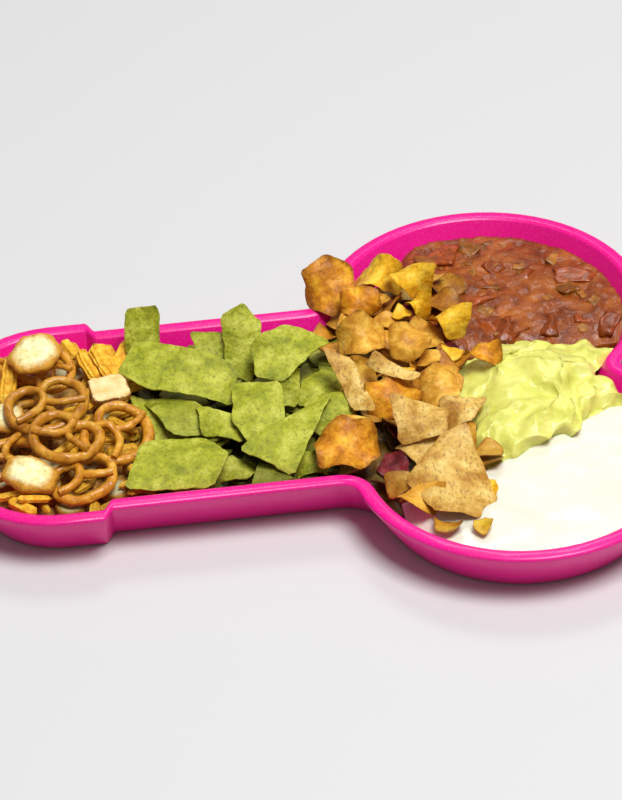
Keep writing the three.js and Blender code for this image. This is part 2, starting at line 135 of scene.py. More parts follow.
def copy_of(node, name):
    """A copy of a plain solid, with its loose triangles joined into one skin."""
    piece = bpy.data.objects.new(name, nodes[node].data.copy())
    bpy.context.scene.collection.objects.link(piece)
    piece.data.materials.clear()
    only(piece)
    bpy.ops.object.mode_set(mode="EDIT")
    bpy.ops.mesh.select_all(action="SELECT")
    bpy.ops.mesh.remove_doubles(threshold=weld)
    bpy.ops.object.mode_set(mode="OBJECT")
    return piece


def apply(piece, kind, **settings):
    """Adds a modifier and applies it."""
    only(piece)
    modifier = piece.modifiers.new(kind.lower(), kind)
    for key, value in settings.items():
        setattr(modifier, key, value)
    bpy.ops.object.modifier_apply(modifier=modifier.name)


def ripple(piece, lump_size, strength, direction="NORMAL", middle=0.5, hard=False, group=""):
    """Pushes a piece's surface in and out in lumps. Hard lumps have creases between them."""
    clouds = bpy.data.textures.new("ripple", "CLOUDS")
    clouds.noise_scale = lump_size
    clouds.cloud_type = "COLOR"
    clouds.noise_type = "HARD_NOISE" if hard else "SOFT_NOISE"
    apply(piece, "DISPLACE", texture=clouds, texture_coords="LOCAL", strength=strength,
          direction=direction, mid_level=middle, vertex_group=group)


def material(name, roughness, coat=0.0, subsurface=0.0):
    """A material with a thin glossy coat, and light inside it where subsurface is above 0."""
    made = bpy.data.materials.new(name)
    made.use_nodes = True
    shader = made.node_tree.nodes["Principled BSDF"]
    shader.inputs["Roughness"].default_value = roughness
    shader.inputs["Specular IOR Level"].default_value = 0.3
    shader.inputs["Coat Weight"].default_value = coat
    shader.inputs["Coat Roughness"].default_value = 0.12
    shader.inputs["Subsurface Weight"].default_value = subsurface
    shader.inputs["Subsurface Scale"].default_value = 0.004
    return made


def node_of(made, kind, **settings):
    node = made.node_tree.nodes.new(kind)
    for key, value in settings.items():
        setattr(node, key, value)
    return node


def link(made, source, target):
    made.node_tree.links.new(source, target)


def grain(made, size, detail=3.0, stretch=(1, 1, 1)):
    """A noise pattern whose lumps are about size metres across."""
    place = node_of(made, "ShaderNodeTexCoord")
    mapping = node_of(made, "ShaderNodeMapping")
    mapping.inputs["Scale"].default_value = stretch
    noise = node_of(made, "ShaderNodeTexNoise")
    noise.inputs["Scale"].default_value = 1 / size
    noise.inputs["Detail"].default_value = detail
    link(made, place.outputs["Object"], mapping.inputs["Vector"])
    link(made, mapping.outputs["Vector"], noise.inputs["Vector"])
    return noise.outputs["Fac"]


def ramp(made, source, stops):
    """Turns a pattern into colour, from stops of a place and a colour."""
    colours = node_of(made, "ShaderNodeValToRGB")
    elements = colours.color_ramp.elements
    while len(elements) < len(stops):
        elements.new(0.5)
    for element, (place, colour) in zip(elements, stops):
        element.position = place
        element.color = (*colour, 1)
    link(made, source, colours.inputs["Fac"])
    return colours.outputs["Color"]


def mixed(made, share, first, second, blend="MIX"):
    """Mixes two colours, or colour patterns, by a share or a pattern of shares."""
    mix = node_of(made, "ShaderNodeMix", data_type="RGBA", blend_type=blend)
    for value, socket in ((share, mix.inputs[0]), (first, mix.inputs[6]), (second, mix.inputs[7])):
        if isinstance(value, bpy.types.NodeSocket):
            link(made, value, socket)
        elif socket.type == "RGBA":
            socket.default_value = (*value, 1)
        else:
            socket.default_value = value
    return mix.outputs[2]


def colour_and_bump(made, colour, *bumps):
    """Gives a material its colour, and bumps that are each a pattern and a depth in metres."""
    shader = made.node_tree.nodes["Principled BSDF"]
    link(made, colour, shader.inputs["Base Color"])
    normal = None
    for height, depth in bumps:
        bump = node_of(made, "ShaderNodeBump")
        bump.inputs["Strength"].default_value = 0.9
        bump.inputs["Distance"].default_value = depth
        link(made, height, bump.inputs["Height"])
        if normal:
            link(made, normal, bump.inputs["Normal"])
        normal = bump.outputs["Normal"]
    link(made, normal, shader.inputs["Normal"])


def finish(piece, made, slot, *replaced):
    """Gives a piece its material and its body, and hides the plain solids that it stands for. The slot is
    not used.
    """
    piece.data.materials.append(made)
    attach(piece, "root")
    if replaced:
        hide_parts(*replaced)


plastic = material("tray_plastic", 0.34, coat=0.12)
speckle = ramp(plastic, grain(plastic, 0.0007, 1), [(0.58, (0, 0, 0)), (0.72, (0.8,) * 3)])
cloudy = ramp(plastic, grain(plastic, 0.05), [(0.3, (0.76, 0.002, 0.22)), (0.7, (0.86, 0.004, 0.27))])
colour_and_bump(
    plastic, mixed(plastic, speckle, cloudy, (0.86, 0.07, 0.34)), (grain(plastic, 0.0016), 0.00004))

tray = copy_of("tray", "tray_shell")
bpy.ops.object.mode_set(mode="EDIT")
bpy.ops.mesh.select_all(action="SELECT")
bpy.ops.mesh.dissolve_limited(angle_limit=math.radians(0.2))
bpy.ops.object.mode_set(mode="OBJECT")
apply(tray, "BEVEL", width=0.0006, segments=2, limit_method="ANGLE", angle_limit=math.radians(25))
bpy.ops.object.shade_smooth_by_angle(angle=math.radians(40))
finish(tray, plastic, "tray_plastic", "tray")

# ---- sour cream ----
# Thick and cold, spooned into the near lobe: a smooth ivory surface with slow swells, and one soft
# lump where a chip has been pushed into it. It falls away towards the chips.
cream_lump = Vector((0.090, -0.114))
lump_reach = 0.012
lump_rise = 0.005
slump = 0.009          # how far a level dip's surface falls where it meets the chips
slump_reach = 0.010
dip_still = 0.008      # a level dip keeps the bowl's shape up to this height,
dip_free = 0.020       # and moves freely from this one
dip_skin = 0.012       # what lies above this height is its surface


def share_past(value, start, length):
    """How far a value is past start, as a share of length, from 0 to 1."""
    return min(1, max(0, (value - start) / length))


def fall_off(value, edge, reach):
    """1 at an edge, fading to 0 over about twice the reach."""
    return math.exp(-((value - edge) / reach) ** 2)


def hold_below(piece, still, free):
    """A vertex group "top" that lets a piece's surface move, and holds what lies below it."""
    top = piece.vertex_groups.new(name="top")
    for vertex in piece.data.vertices:
        top.add([vertex.index], share_past(vertex.co.z, still, free - still), "REPLACE")


dairy = material("sour_cream", 0.35, coat=0.25, subsurface=0.3)
colour_and_bump(
    dairy, ramp(dairy, grain(dairy, 0.03), [(0.3, (0.76, 0.735, 0.61)), (0.7, (0.82, 0.80, 0.69))]),
    (grain(dairy, 0.02), 0.0012), (grain(dairy, 0.004), 0.0003))
cream = copy_of("sour_cream", "sour_cream_pool")
apply(cream, "REMESH", mode="VOXEL", voxel_size=0.0018, use_smooth_shade=True)
hold_below(cream, dip_still, dip_free)
ripple(cream, lump_size=0.028, strength=0.004, direction="Z", group="top")
cream_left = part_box("sour_cream")[0].x
for vertex in cream.data.vertices:
    from_lump = (vertex.co.xy - cream_lump).length / lump_reach
    if vertex.co.z > dip_skin:
        vertex.co.z += lump_rise * math.exp(-from_lump ** 2)
        vertex.co.z -= slump * fall_off(vertex.co.x, cream_left, slump_reach)
apply(cream, "SMOOTH", factor=0.5, iterations=6)
finish(cream, dairy, "sour_cream", "sour_cream")

# ---- salsa ----
# A wet, glossy sauce of cooked tomato, spooned into the far lobe until it lies nearly level. What is in
# it makes its surface uneven, and it slumps where it meets the chips and the guacamole.
near_slump = 0.6 * slump
sauce = material("salsa", 0.30, coat=0.14, subsurface=0.05)
sauce_mottle = ramp(sauce, grain(sauce, 0.009, 5), [
    (0.32, (0.19, 0.036, 0.004)), (0.5, (0.34, 0.078, 0.008)), (0.68, (0.46, 0.135, 0.015))])
sauce_depth = ramp(sauce, grain(sauce, 0.035, 2), [(0.40, (0.72, 0.66, 0.66)), (0.60, (1, 1, 1))])
colour_and_bump(
    sauce, mixed(sauce, 1.0, sauce_mottle, sauce_depth, "MULTIPLY"),
    (grain(sauce, 0.005, 3), 0.0009), (grain(sauce, 0.0013), 0.0006))
salsa = copy_of("salsa", "salsa_pool")
apply(salsa, "REMESH", mode="VOXEL", voxel_size=0.0014, use_smooth_shade=True)
hold_below(salsa, dip_still, dip_free)
ripple(salsa, lump_size=0.022, strength=0.0065, direction="Z", hard=True, group="top")
ripple(salsa, lump_size=0.007, strength=0.003, direction="Z", group="top")
salsa_low, salsa_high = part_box("salsa")
for vertex in salsa.data.vertices:
    if vertex.co.z > dip_skin:
        vertex.co.z -= near_slump * fall_off(vertex.co.y, salsa_low.y, slump_reach)
        vertex.co.z -= slump * fall_off(vertex.co.x, salsa_low.x, slump_reach)
finish(salsa, sauce, "salsa", "salsa")

# ---- tomato, pepper and onion in the salsa ----
# Soft cut pieces that just break the sauce's surface. Each lies nearly level, sunk for about a third of
# its size, and clear of the sauce's edge.
chunk_kinds = [        # name, colour, half the size before it is flattened, how many
    ("tomato_pieces", (0.43, 0.085, 0.012), 0.0105, 18),
    ("pepper_pieces", (0.36, 0.115, 0.010), 0.0070, 12),
    ("onion_pieces", (0.50, 0.19, 0.030), 0.0050, 18),
]
chunk_sinks = 0.36     # share of its size
chunk_lengths = (0.5, 1.15)
chunk_heights = (0.25, 0.5)
chunk_tilt = 0.4
edge_gap = 0.008
full_turn = 6.28
above_all = 0.1        # rays that look down on the sauce start at this height
down = Vector((0, 0, -1))
salsa_chance = np.random.default_rng(11)
salsa_surface = BVHTree.FromObject(salsa, bpy.context.evaluated_depsgraph_get())


def joined(pieces, name):
    bpy.ops.object.select_all(action="DESELECT")
    for piece in pieces:
        piece.select_set(True)
    bpy.context.view_layer.objects.active = pieces[0]
    bpy.ops.object.join()
    pieces[0].name = name
    return pieces[0]


def set_tone_and_shade(piece, tone):
    """Stores a value from 0 for dark to 1 for light on a piece's points: its own random tone, with
    painted shade added where a small piece lies low in a heap, and painted shade alone on the crumbs.
    """
    values = piece.data.attributes.new("tone", "FLOAT", "POINT").data
    values.foreach_set("value", np.full(len(values), tone, np.float32))


def copied(template, place, tone):
    """A copy of a template with its own mesh, tone and painted shade, put in place by a matrix."""
    piece = bpy.data.objects.new(template.name, template.data.copy())
    bpy.context.scene.collection.objects.link(piece)
    piece.data.transform(place)
    set_tone_and_shade(piece, tone)
    return piece


def toned_and_shaded(made, source, spread=0.35):
    """Darkens a colour by each piece's stored tone and painted shade, by up to spread, and in small specks
    all over.
    """
    tone = node_of(made, "ShaderNodeAttribute", attribute_name="tone").outputs["Fac"]
    # painted shade: the stored value darkens the colour, so low-lying pieces and the crumbs look shaded
    shade = ramp(made, tone, [(0, (1 - spread,) * 3), (0.75, (1, 1, 1))])
    specks = ramp(made, grain(made, 0.0022, 3), [(0.32, (0.76, 0.73, 0.66)), (0.52, (1, 1, 1))])
    return mixed(made, 1.0, mixed(made, 1.0, source, specks, "MULTIPLY"), shade, "MULTIPLY")


def sauce_under(x, y):
    return salsa_surface.ray_cast(Vector((x, y, above_all)), down)[0]


for name, colour, size, count in chunk_kinds:
    bpy.ops.mesh.primitive_cube_add(size=2 * size)
    template = bpy.context.object
    apply(template, "SUBSURF", levels=3, render_levels=3, subdivision_type="SIMPLE")
    apply(template, "SMOOTH", factor=0.5, iterations=4)
    ripple(template, lump_size=size, strength=0.7 * size, direction="RGB_TO_XYZ")
    bpy.ops.object.shade_smooth()
    chunks = []
    while len(chunks) < count:
        x = salsa_chance.uniform(salsa_low.x, salsa_high.x)
        y = salsa_chance.uniform(salsa_low.y, salsa_high.y)
        hit = sauce_under(x, y)
        around = [sauce_under(x + dx, y + dy)
                  for dx, dy in ((edge_gap, 0), (-edge_gap, 0), (0, edge_gap), (0, -edge_gap))]
        if hit is None or None in around:
            continue
        shape = Matrix.Diagonal(
            (*salsa_chance.uniform(*chunk_lengths, 2), salsa_chance.uniform(*chunk_heights), 1))
        turn = Matrix.Rotation(salsa_chance.uniform(0, full_turn), 4, "Z") @ Matrix.Rotation(
            salsa_chance.uniform(-chunk_tilt, chunk_tilt), 4, "X")
        place = Matrix.Translation((x, y, hit.z - chunk_sinks * size)) @ turn @ shape
        chunks.append(copied(template, place, salsa_chance.uniform()))
    bpy.data.objects.remove(template)
    flesh = material(name, 0.30, coat=0.12, subsurface=0.1)
    darker = tuple(0.55 * channel for channel in colour)
    mottle = ramp(flesh, grain(flesh, 0.004), [(0.35, darker), (0.65, colour)])
    colour_and_bump(flesh, toned_and_shaded(flesh, mottle), (grain(flesh, 0.0012), 0.0003))
    finish(joined(chunks, name), flesh, "salsa")

# ---- guacamole ----
# Mashed avocado, spooned in a mound between the other two dips: its foot spreads over them in uneven
# laps, and it has soft folds where the spoon has turned it over, and a moist sheen.
lap = 0.005            # how far its side spreads over the dips beside it
broad_laps = (5, 0.8)  # how many there are around the mound, and how uneven they make the spread
small_laps = (11, 0.6)
lap_start = 0.016      # the side spreads above this height,
lap_full = 0.006       # and does so fully this much higher
wall_gap = 0.012       # it doesn't spread this near the tray's wall,
wall_fade = 0.02       # and does so fully this much further in
avocado = material("guacamole", 0.38, coat=0.2, subsurface=0.2)
avocado_mottle = ramp(avocado, grain(avocado, 0.012, 4), [
    (0.3, (0.58, 0.58, 0.095)), (0.5, (0.72, 0.71, 0.155)), (0.7, (0.80, 0.78, 0.23))])
colour_and_bump(
    avocado, avocado_mottle, (grain(avocado, 0.008, 2), 0.0012), (grain(avocado, 0.002), 0.0002))
guacamole = copy_of("guacamole", "guacamole_mound")
apply(guacamole, "REMESH", mode="VOXEL", voxel_size=0.0013, use_smooth_shade=True)
apply(guacamole, "SMOOTH", factor=0.6, iterations=14)
mound_low, mound_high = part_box("guacamole")
mound_middle = (mound_low + mound_high) / 2
for vertex in guacamole.data.vertices:
    out = vertex.co.xy - mound_middle.xy
    around = math.atan2(out.y, out.x)
    clear_of_wall = share_past(mound_high.x - wall_gap, vertex.co.x, wall_fade)
    side = (1 - abs(vertex.normal.z)) * share_past(vertex.co.z, lap_start, lap_full) * clear_of_wall
    uneven = (1 + broad_laps[1] * math.sin(broad_laps[0] * around)
              + small_laps[1] * math.sin(small_laps[0] * around + 1))
    vertex.co.xy += side * lap * uneven * out.normalized()
apply(guacamole, "SMOOTH", factor=0.5, iterations=8)
hold_below(guacamole, still=0.014, free=0.026)
ripple(guacamole, lump_size=0.038, strength=0.021, direction="RGB_TO_XYZ", hard=True, group="top")
ripple(guacamole, lump_size=0.016, strength=0.0045, hard=True, group="top")
apply(guacamole, "SMOOTH", factor=0.5, iterations=5)
finish(guacamole, avocado, "guacamole", "guacamole")


# ---- tortilla chips ----
# Broken corners of thin green corn sheet, fried until it blisters: matt, with dark flecks of bran and
# torn edges. They lie on each other with shade between them.
sectors = 36           # a crisp's outline is measured in this many directions
edge_wander = 0.3      # how unevenly its edge browns


def edge_share(piece):
    """Stores how far out each point lies on its crisp, from 0 in the middle to 1 at the edge."""
    points = np.array([v.co for v in piece.data.vertices])
    flat = points - points.mean(0)
    axes = np.linalg.svd(flat, full_matrices=False)[2]
    across = flat @ axes[:2].T
    reach = np.hypot(*across.T)
    sector = ((np.arctan2(*across.T) + math.pi) / (2 * math.pi) * sectors).astype(int) % sectors
    outer = np.array([reach[sector == s].max() if (sector == s).any() else 0 for s in range(sectors)])
    outer = np.maximum(outer, np.maximum(np.roll(outer, 1), np.roll(outer, -1)))
    share = np.clip(reach / np.maximum(outer[sector], 1e-6), 0, 1)
    values = piece.data.attributes.new("edge", "FLOAT", "POINT").data
    values.foreach_set("value", share.astype(np.float32))


def edged(made, source, colour, start=0.86, full=1.05, amount=0.6):
    """Browns a colour from start towards the edge of each crisp, which is at 1."""
    edge = node_of(made, "ShaderNodeAttribute", attribute_name="edge").outputs["Fac"]
    wander = node_of(made, "ShaderNodeMath", operation="MULTIPLY_ADD")
    link(made, grain(made, 0.006), wander.inputs[0])
    wander.inputs[1].default_value = edge_wander
    link(made, edge, wander.inputs[2])
    within = node_of(made, "ShaderNodeMath", operation="DIVIDE")
    link(made, wander.outputs[0], within.inputs[0])
    within.inputs[1].default_value = 1 + edge_wander
    brown_from, brown_to = [(place + edge_wander / 2) / (1 + edge_wander) for place in (start, full)]
    share = ramp(made, within.outputs[0], [(brown_from, (0, 0, 0)), (brown_to, (amount,) * 3)])
    return mixed(made, share, source, colour)


def nodes_of(kind):
    return sorted(name for name in nodes if name.startswith(kind))


def frame_of(node):
    """A matrix from a node's own long, middle and short axes to its place, and its reach along each."""
    points = np.array([v.co for v in nodes[node].data.vertices])
    middle = (points.min(0) + points.max(0)) / 2
    axes = np.linalg.svd(points - points.mean(0), full_matrices=False)[2]
    axes[2] *= np.sign(axes[2][2])
    axes[1] = np.cross(axes[2], axes[0])
    reach = np.abs((points - middle) @ axes.T).max(0)
    return Matrix.Translation(middle) @ Matrix(axes.tolist()).transposed().to_4x4(), reach


def curl_up(piece, reach, cup, fold, ruffle):
    """Bends a thin piece that lies level about its middle: cupped, folded about a line, and ruffled
    towards its edge. Each amount is in metres, at the edge."""
    start, waves = chance.uniform(0, 2 * math.pi), chance.integers(3, 6)
    for vertex in piece.data.vertices:
        x, y, z = vertex.co
        out = math.hypot(x, y) / reach
        around = math.atan2(y, x)
        rise = cup * out ** 2 + fold * out ** 2 * math.cos(2 * (around - start))
        rise += ruffle * out ** 3 * math.sin(waves * around + start)
        vertex.co.z = z + rise


def crisp(node, name, tone, curls, rounding, thin, puffed=False):
    """A crisp from its plain solid: its outline smoothed rounding times, its thickness cut to the share
    thin, and then curled and rippled a little. A puffed one is rounded all over."""
    piece = copy_of(node, name)
    apply(piece, "SUBSURF", levels=3, render_levels=3,
          subdivision_type="CATMULL_CLARK" if puffed else "SIMPLE")
    edge_share(piece)
    set_tone_and_shade(piece, tone)
    place, reach = frame_of(node)
    piece.data.transform(place.inverted())
    piece.data.transform(Matrix.Diagonal((1, 1, thin, 1)))
    apply(piece, "SMOOTH", factor=0.5, iterations=rounding, use_z=False)
    curl_up(piece, reach[0], *curls)
    piece.data.transform(place)
    ripple(piece, lump_size=0.018, strength=0.0030, direction="RGB_TO_XYZ")
    ripple(piece, lump_size=0.005, strength=0.0010, direction="RGB_TO_XYZ")
    bpy.ops.object.shade_smooth_by_angle(angle=math.radians(45))
    return piece


masa = material("tortilla_chip", 0.62)
masa_mottle = ramp(masa, grain(masa, 0.010, 4), [
    (0.32, (0.25, 0.28, 0.012)), (0.5, (0.39, 0.41, 0.022)), (0.68, (0.55, 0.56, 0.075))])
bran = ramp(masa, grain(masa, 0.0014, 2), [(0.60, (0, 0, 0)), (0.70, (0.6,) * 3)])
masa_flecked = mixed(masa, bran, masa_mottle, (0.12, 0.13, 0.018))
colour_and_bump(
    masa, toned_and_shaded(masa, edged(masa, masa_flecked, (0.36, 0.34, 0.07), amount=0.4), 0.88),
    (grain(masa, 0.006, 3), 0.0016), (grain(masa, 0.0020, 2), 0.0006))
chance = np.random.default_rng(23)
tortilla_curls = (-0.002, 0.004, 0.003)
for node in nodes_of("tortilla_chip"):
    piece = crisp(node, node + "_crisp", chance.uniform(0.6, 1), tortilla_curls, rounding=2, thin=0.6)
    finish(piece, masa, "tortilla_chip", node)

# ---- root vegetable and corn chips ----
# Thin slices of parsnip, sweet potato, taro and beet, and curls of corn, fried so that they cup and
# their edges brown. Taro keeps its dark threads and its broken corners.
parsnip = material("parsnip_chip", 0.5, coat=0.05)
parsnip_mottle = ramp(parsnip, grain(parsnip, 0.009, 4), [
    (0.3, (0.49, 0.195, 0.013)), (0.5, (0.73, 0.355, 0.033)), (0.7, (0.89, 0.55, 0.088))])
colour_and_bump(
    parsnip, toned_and_shaded(parsnip, edged(parsnip, parsnip_mottle, (0.33, 0.11, 0.012), amount=0.8), 0.9),
    (grain(parsnip, 0.004, 3), 0.0005), (grain(parsnip, 0.001, 2), 0.0002))

sweet = material("sweet_potato_chip", 0.55, coat=0.04)
sweet_mottle = ramp(sweet, grain(sweet, 0.008, 5), [
    (0.3, (0.41, 0.13, 0.006)), (0.5, (0.70, 0.27, 0.010)), (0.7, (0.88, 0.47, 0.030))])
sweet_edged = edged(sweet, sweet_mottle, (0.20, 0.06, 0.006), start=0.78, amount=0.85)
colour_and_bump(
    sweet, toned_and_shaded(sweet, sweet_edged, 0.9),
    (grain(sweet, 0.0035, 3), 0.0008), (grain(sweet, 0.001, 2), 0.0002))

taro = material("taro_chip", 0.55)
taro_mottle = ramp(taro, grain(taro, 0.012, 4), [
    (0.34, (0.44, 0.20, 0.022)), (0.5, (0.67, 0.41, 0.085)), (0.66, (0.83, 0.60, 0.19))])
threads = ramp(taro, grain(taro, 0.0014, 2, (1, 0.4, 1)), [(0.57, (0, 0, 0)), (0.68, (0.6,) * 3)])
taro_threaded = mixed(taro, threads, taro_mottle, (0.22, 0.10, 0.04))
taro_edged = edged(taro, taro_threaded, (0.44, 0.18, 0.025), start=0.8, amount=0.8)
colour_and_bump(
    taro, toned_and_shaded(taro, taro_edged, 0.88), (grain(taro, 0.005, 3), 0.0008), (grain(taro, 0.001, 2), 0.0002))

corn = material("corn_chip", 0.5)
corn_mottle = ramp(corn, grain(corn, 0.006, 4), [
    (0.3, (0.74, 0.37, 0.013)), (0.5, (0.92, 0.55, 0.028)), (0.7, (0.95, 0.67, 0.075))])
colour_and_bump(
    corn, toned_and_shaded(corn, edged(corn, corn_mottle, (0.55, 0.22, 0.015)), 0.85),
    (grain(corn, 0.003, 3), 0.0006), (grain(corn, 0.001, 2), 0.0002))

beet = material("beet_chip", 0.5)
beet_mottle = ramp(beet, grain(beet, 0.007, 4), [(0.3, (0.05, 0.004, 0.006)), (0.7, (0.24, 0.015, 0.02))])
colour_and_bump(beet, toned_and_shaded(beet, beet_mottle, 0.6), (grain(beet, 0.004, 3), 0.0006))

root_kinds = {         # each kind's material, how it cups, folds and ruffles, and how round it is
    "parsnip_chip": (parsnip, (0.002, 0.008, 0.001), 12),
    "sweet_potato_chip": (sweet, (0.002, 0.006, 0.004), 12),
    "taro_chip": (taro, (-0.001, 0.007, 0.002), 3),
    "corn_chip": (corn, (-0.004, 0.016, 0.001), 12),
    "beet_chip": (beet, (0.001, 0.002, 0.001), 12),
}
for kind, (made, curls, rounding) in root_kinds.items():
    for node in nodes_of(kind):
        piece = crisp(node, node + "_slice", chance.uniform(0.7, 1), curls, rounding, thin=0.5)
        finish(piece, made, kind, node)

# ---- bagel chips ----
# Twice-baked slices of bagel: pale, open crumb with small holes, and a brown crust round the edge.
# They lie loose on top of the snack mix.
bread = material("bagel_chip", 0.6)
crumb = ramp(bread, grain(bread, 0.006, 4), [
    (0.3, (0.84, 0.68, 0.26)), (0.5, (0.92, 0.84, 0.45)), (0.7, (0.95, 0.91, 0.62))])
crusted = edged(bread, crumb, (0.62, 0.29, 0.025), start=0.58, full=0.84, amount=1.0)
colour_and_bump(
    bread, toned_and_shaded(bread, crusted, 0.6), (grain(bread, 0.0035, 3), 0.0008), (grain(bread, 0.001, 2), 0.0003))
bagel_curls = (0.001, 0.001, 0)
for node in nodes_of("bagel_chip"):
    piece = crisp(node, node + "_slice", chance.uniform(0.6, 1), bagel_curls, 1, thin=1, puffed=True)
    finish(piece, bread, "bagel_chip", node)


# ---- corn sticks ----
# Extruded and baked corn sticks, orange with a dusting of cheese, with ridges along them and rounded
# ends. They lie loose in the snack mix.
ridge_height = 0.09    # share of the stick's half width
stick_slimness = 2.2   # the stick's width over its half width between ridges, so that they stay inside


def ridged_stick(length, width, thickness, ridges=9):
    """Along X, with rounded ends and ridges that run along it."""
    bpy.ops.mesh.primitive_cylinder_add(
        vertices=4 * ridges, radius=1, depth=length, rotation=(0, math.pi / 2, 0))
    piece = bpy.context.object
    bpy.ops.object.transform_apply(rotation=True)
    bpy.ops.object.mode_set(mode="EDIT")
    bpy.ops.mesh.select_all(action="SELECT")
    bpy.ops.mesh.subdivide(number_cuts=6, quadcorner="INNERVERT")
    bpy.ops.object.mode_set(mode="OBJECT")
    for vertex in piece.data.vertices:
        x, y, z = vertex.co
        around = math.atan2(z, y)
        into_end = max(0.0, abs(x) - (length / 2 - width / 2)) / (width / 2)
        girth = math.sqrt(max(0.0, 1 - into_end ** 2)) * (1 + ridge_height * math.cos(ridges * around))
        vertex.co = (x, y * girth * width / stick_slimness, z * girth * thickness / stick_slimness)
    bpy.ops.object.mode_set(mode="EDIT")
    bpy.ops.mesh.select_all(action="SELECT")
    bpy.ops.mesh.remove_doubles(threshold=weld)
    bpy.ops.mesh.normals_make_consistent(inside=False)
    bpy.ops.object.mode_set(mode="OBJECT")
    bpy.ops.object.shade_smooth()
    return piece


cheese = material("corn_stick", 0.6)
cheese_mottle = ramp(cheese, grain(cheese, 0.004, 4), [
    (0.3, (0.74, 0.31, 0.012)), (0.5, (0.92, 0.48, 0.022)), (0.7, (0.95, 0.63, 0.07))])
colour_and_bump(
    cheese, toned_and_shaded(cheese, cheese_mottle, 0.6), (grain(cheese, 0.002, 3), 0.001),
    (grain(cheese, 0.0007, 2), 0.0003))
for node in nodes_of("corn_stick"):
    place, reach = frame_of(node)
    piece = ridged_stick(*(2 * reach))
    piece.name = node + "_baked"
    piece.data.transform(place)
    ripple(piece, lump_size=0.008, strength=0.003, direction="RGB_TO_XYZ")
    set_tone_and_shade(piece, chance.uniform(0.5, 1))
    finish(piece, cheese, "corn_stick", node)

# ---- cracker ----
# A small baked cracker, nearly square, with a toothed edge: pale on top, brown on its teeth and sides.
# It lies loose on the snack mix.
teeth = 22
notch_share = 0.93     # how far out its edge lies between two teeth
corner_share = 0.72    # how blunt its corners are: 1 for a disc
cracker_thin = 0.8
cracker_place, cracker_reach = frame_of("cracker")
bpy.ops.mesh.primitive_cylinder_add(vertices=2 * teeth, radius=1, depth=2, end_fill_type="TRIFAN")
cracker = bpy.context.object
cracker.name = "cracker_baked"
for index, vertex in enumerate(cracker.data.vertices):
    x, y, z = vertex.co
    on_edge = math.hypot(x, y) > 0.5
    squared = 1 / max(abs(x), abs(y), corner_share) if on_edge else 1
    tooth = 1 if (index // 2) % 2 else notch_share
    vertex.co = (
        x * squared * tooth * cracker_reach[0], y * squared * tooth * cracker_reach[1],
        z * cracker_thin * cracker_reach[2])
apply(cracker, "BEVEL", width=0.0008, segments=2, limit_method="ANGLE")
apply(cracker, "SUBSURF", levels=2, render_levels=2, subdivision_type="SIMPLE")
edge_share(cracker)
set_tone_and_shade(cracker, 0.9)
cracker.data.transform(cracker_place)
ripple(cracker, lump_size=0.006, strength=0.0015, direction="RGB_TO_XYZ")
bpy.ops.object.shade_smooth()
biscuit = material("cracker", 0.6)
biscuit_top = ramp(biscuit, grain(biscuit, 0.005, 4), [(0.3, (0.78, 0.50, 0.16)), (0.7, (0.93, 0.78, 0.42))])
colour_and_bump(
    biscuit, edged(biscuit, biscuit_top, (0.40, 0.14, 0.02), start=0.82, full=0.96, amount=1.0),
    (grain(biscuit, 0.002), 0.0008))
finish(cracker, biscuit, "cracker", "cracker")

# ---- pretzels ----
# A rope of dough, crossed over itself twice and baked until it is brown and glossy. It thins towards
# its two ends, which lie on the bend.
rope_width = 0.0057
rope_steps = 64
rope_end = 4           # the curve's parameter at the rope's ends. It is 0 at the middle of the bend
twist_at = 2.9         # and this where one half of the rope crosses over the other,
bend_from = 2.6        # and the rope climbs onto its own bend from here on


def pretzel(width, depth, sides=4):
    """A pretzel that lies level about its middle. Its rope sways from side to side as its parameter
    grows, and draws in towards its ends: the sizes below are of a pretzel 5.3 wide and 3.5 deep."""
    bpy.ops.curve.primitive_nurbs_path_add()
    rope = bpy.context.object
    spline = rope.data.splines[0]
    spline.points.add(rope_steps + 1 - len(spline.points))
    spline.order_u = 4
    for step, point in enumerate(spline.points):
        t = 2 * rope_end * step / rope_steps - rope_end
        x = (3.3 - 0.4 * t * t) * math.sin(t) / 5.3
        y = ((2.5 - 0.3 * t * t) * math.cos(t) - 0.95) / 3.5
        onto_bend = 0.75 * share_past(abs(t), bend_from, 1.0) * rope_width
        over_twist = 0.3 * rope_width * math.copysign(fall_off(abs(t), twist_at, 0.3), t)
        point.co = (x * width, y * depth, onto_bend + over_twist - 0.2 * rope_width, 1)
        point.radius = 0.7 + 0.36 * (1 - (abs(t) / rope_end) ** 2)
    rope.data.dimensions = "3D"
    rope.data.bevel_depth = rope_width / 2
    rope.data.bevel_resolution = sides
    rope.data.use_fill_caps = True
    only(rope)
    bpy.ops.object.convert(target="MESH")
    bpy.ops.object.shade_smooth()
    return rope


dough = material("pretzel", 0.34, coat=0.25)
dough_mottle = ramp(dough, grain(dough, 0.007, 4), [
    (0.3, (0.44, 0.15, 0.008)), (0.5, (0.65, 0.275, 0.018)), (0.72, (0.82, 0.44, 0.05))])
colour_and_bump(
    dough, toned_and_shaded(dough, dough_mottle, 0.7), (grain(dough, 0.003, 3), 0.0006),
    (grain(dough, 0.0009, 2), 0.0002))
for node in nodes_of("pretzel"):
    place, reach = frame_of(node)
    piece = pretzel(2 * reach[0] - rope_width, 2 * reach[1] - rope_width)
    piece.name = node + "_baked"
    piece.data.transform(place)
    set_tone_and_shade(piece, chance.uniform(0.5, 1))
    ripple(piece, lump_size=0.012, strength=0.0025, direction="RGB_TO_XYZ")
    finish(piece, dough, "pretzel", node)


# ---- crumbs at the foot of the heaps ----
# On the tray's floor, under each of the three heaps, lies a rough layer of what has broken off the
# pieces above it. It is nearly all in shade; under the tortilla and root chips that shade is painted into
# its colour.
crumb_share = 0.72     # the layer's height over that of the whole bed
# painted shade: the tortilla and root crumb layers get this low value, which darkens their colour strongly
crumb_painted_shade = 0.1


